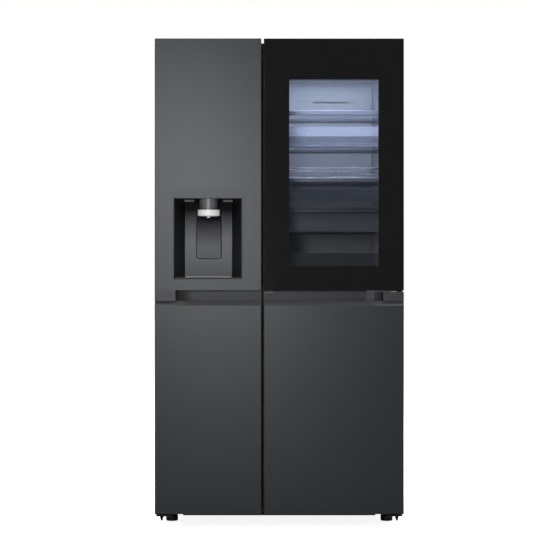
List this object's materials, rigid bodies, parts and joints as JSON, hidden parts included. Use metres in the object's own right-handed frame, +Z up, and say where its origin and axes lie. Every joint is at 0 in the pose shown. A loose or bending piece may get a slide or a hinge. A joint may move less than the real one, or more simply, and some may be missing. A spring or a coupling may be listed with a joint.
{
  "type": "side by side refrigerator",
  "caption": "Tall two-door refrigerator with recessed grips, an ice and water dispenser in the left door, and a glass-fronted show case door on the right.",
  "frame": {"origin": "centre of the footprint on the floor", "axes": "+X to the viewer's right when facing the doors, -Y is the door side, +Y the rear, +Z up"},
  "size_m": [0.913, 0.735, 1.79],
  "materials": {
    "graphite_steel": "satin",
    "case_steel": "satin",
    "zinc_steel": "satin",
    "zinc_sheet": "satin",
    "dark_zinc": "satin",
    "foam": "matte",
    "door_foam": "satin",
    "white_liner": "gloss",
    "grey_grip": "satin",
    "black_plastic": "matte",
    "dark_gloss": "gloss",
    "panel_grey": "satin",
    "nozzle_grey": "satin",
    "chrome_band": "mirror",
    "seal": "matte",
    "clear_tray": "gloss",
    "shelf_pane": "gloss",
    "door_pane": "gloss",
    "trim_silver": "satin",
    "wire": "gloss",
    "lamp_lens": "gloss",
    "coil": "satin",
    "black_iron": "satin",
    "roller": "matte"
  },
  "bodies": {
    "cabinet": {"base_chassis": "zinc_steel", "cabinet_foam": "foam", "compressor": "black_iron", "compressor_cover": "zinc_sheet", "condenser": "coil", "electronics_cover": "black_plastic", "evaporating_pan": "black_plastic", "evaporator": "coil", "freezer_duct": "white_liner", "freezer_liner": "white_liner", "fridge_duct": "white_liner", "fridge_liner": "white_liner", "front_frame": "case_steel", "ice_maker": "white_liner", "interior_lamps": "lamp_lens", "lower_hinges": "dark_zinc", "rear_panel": "zinc_sheet", "shelf_glass": "shelf_pane", "shelf_trims": "trim_silver", "side_panel_left": "case_steel", "side_panel_right": "case_steel", "top_cover": "black_plastic", "top_panel": "case_steel", "upper_hinges": "dark_zinc", "wine_rack": "wire"},
    "freezer_door": {"freezer_door_skin": "graphite_steel", "freezer_door_grip": "grey_grip", "freezer_door_caps": "black_plastic", "freezer_door_inner": "door_foam", "freezer_door_gasket": "seal", "freezer_door_bins": "clear_tray", "dispenser_housing": "dark_gloss", "dispenser_back_panel": "panel_grey", "dispenser_nozzle": "nozzle_grey", "dispenser_ring": "chrome_band", "ice_bucket": "clear_tray"},
    "fridge_door": {"fridge_door_skin": "graphite_steel", "fridge_door_grip": "grey_grip", "fridge_door_caps": "black_plastic", "fridge_door_inner": "door_foam", "fridge_door_gasket": "seal", "fridge_door_baskets": "clear_tray"},
    "outer_door": {"outer_door_frame": "black_plastic", "outer_door_glass": "door_pane", "outer_door_gasket": "seal"},
    "pad": {"dispenser_pad": "panel_grey"},
    "flap": {"ice_flap": "black_plastic"},
    "tray": {"drip_tray": "black_plastic"},
    "button": {"release_button": "trim_silver"},
    "freezer_upper_drawer": {"freezer_drawer_upper": "clear_tray"},
    "freezer_lower_drawer": {"freezer_drawer_lower": "clear_tray"},
    "upper_crisper": {"crisper_drawer_upper": "clear_tray"},
    "lower_crisper": {"crisper_drawer_lower": "clear_tray"},
    "chiller": {"chiller_drawer": "clear_tray"},
    "warm_fan": {"condenser_fan": "black_plastic"},
    "cold_fan": {"evaporator_fan": "black_plastic"},
    "roller_left": {"rear_roller_left": "roller"},
    "roller_right": {"rear_roller_right": "roller"},
    "foot_left": {"levelling_foot_left": "black_plastic"},
    "foot_right": {"levelling_foot_right": "black_plastic"}
  },
  "joints": [
    {"name": "freezer_door_hinge", "type": "hinge", "parent": "cabinet", "child": "freezer_door", "pos_m": [-0.4345, -0.2905, 0.9], "axis": [0, 0, -1], "range_deg": [0, 110]},
    {"name": "fridge_door_hinge", "type": "hinge", "parent": "cabinet", "child": "fridge_door", "pos_m": [0.4345, -0.2905, 0.9], "axis": [0, 0, 1], "range_deg": [0, 110]},
    {"name": "outer_door_hinge", "type": "hinge", "parent": "fridge_door", "child": "outer_door", "pos_m": [0.4425, -0.3415, 1.3], "axis": [0, 0, 1], "range_deg": [0, 90]},
    {"name": "pad_hinge", "type": "hinge", "parent": "freezer_door", "child": "pad", "pos_m": [-0.2615, -0.2765, 1.146], "axis": [1, 0, 0], "range_deg": [0, 5], "stiffness_Nm_per_rad": 0.6},
    {"name": "flap_hinge", "type": "hinge", "parent": "freezer_door", "child": "flap", "pos_m": [-0.2605, -0.344, 1.211], "axis": [1, 0, 0], "range_deg": [0, 60]},
    {"name": "tray_slide", "type": "slide", "parent": "freezer_door", "child": "tray", "axis": [0, -1, 0], "range_m": [0, 0.05]},
    {"name": "button_press", "type": "slide", "parent": "outer_door", "child": "button", "axis": [0, 0, 1], "range_m": [0, 0.002], "stiffness_N_per_m": 150},
    {"name": "freezer_upper_slide", "type": "slide", "parent": "cabinet", "child": "freezer_upper_drawer", "axis": [0, -1, 0], "range_m": [0, 0.125]},
    {"name": "freezer_lower_slide", "type": "slide", "parent": "cabinet", "child": "freezer_lower_drawer", "axis": [0, -1, 0], "range_m": [0, 0.125]},
    {"name": "upper_crisper_slide", "type": "slide", "parent": "cabinet", "child": "upper_crisper", "axis": [0, -1, 0], "range_m": [0, 0.135]},
    {"name": "lower_crisper_slide", "type": "slide", "parent": "cabinet", "child": "lower_crisper", "axis": [0, -1, 0], "range_m": [0, 0.135]},
    {"name": "chiller_slide", "type": "slide", "parent": "cabinet", "child": "chiller", "axis": [0, -1, 0], "range_m": [0, 0.18]},
    {"name": "warm_fan_spin", "type": "hinge", "parent": "cabinet", "child": "warm_fan", "pos_m": [0.038, 0.262, 0.16], "axis": [1, 0, 0], "continuous": true},
    {"name": "cold_fan_spin", "type": "hinge", "parent": "cabinet", "child": "cold_fan", "pos_m": [-0.255, 0.273, 0.78], "axis": [0, 1, 0], "continuous": true},
    {"name": "roller_left_spin", "type": "hinge", "parent": "cabinet", "child": "roller_left", "pos_m": [-0.404, 0.3, 0.019], "axis": [1, 0, 0], "continuous": true},
    {"name": "roller_right_spin", "type": "hinge", "parent": "cabinet", "child": "roller_right", "pos_m": [0.404, 0.3, 0.019], "axis": [1, 0, 0], "continuous": true},
    {"name": "foot_left_turn", "type": "hinge", "parent": "cabinet", "child": "foot_left", "pos_m": [-0.404, -0.195, 0.02], "axis": [0, 0, 1], "continuous": true},
    {"name": "foot_right_turn", "type": "hinge", "parent": "cabinet", "child": "foot_right", "pos_m": [0.404, -0.195, 0.02], "axis": [0, 0, 1], "continuous": true}
  ],
  "couplings": [
    {"joint": "flap_hinge", "follows": "pad_hinge", "ratio": 12}
  ]
}
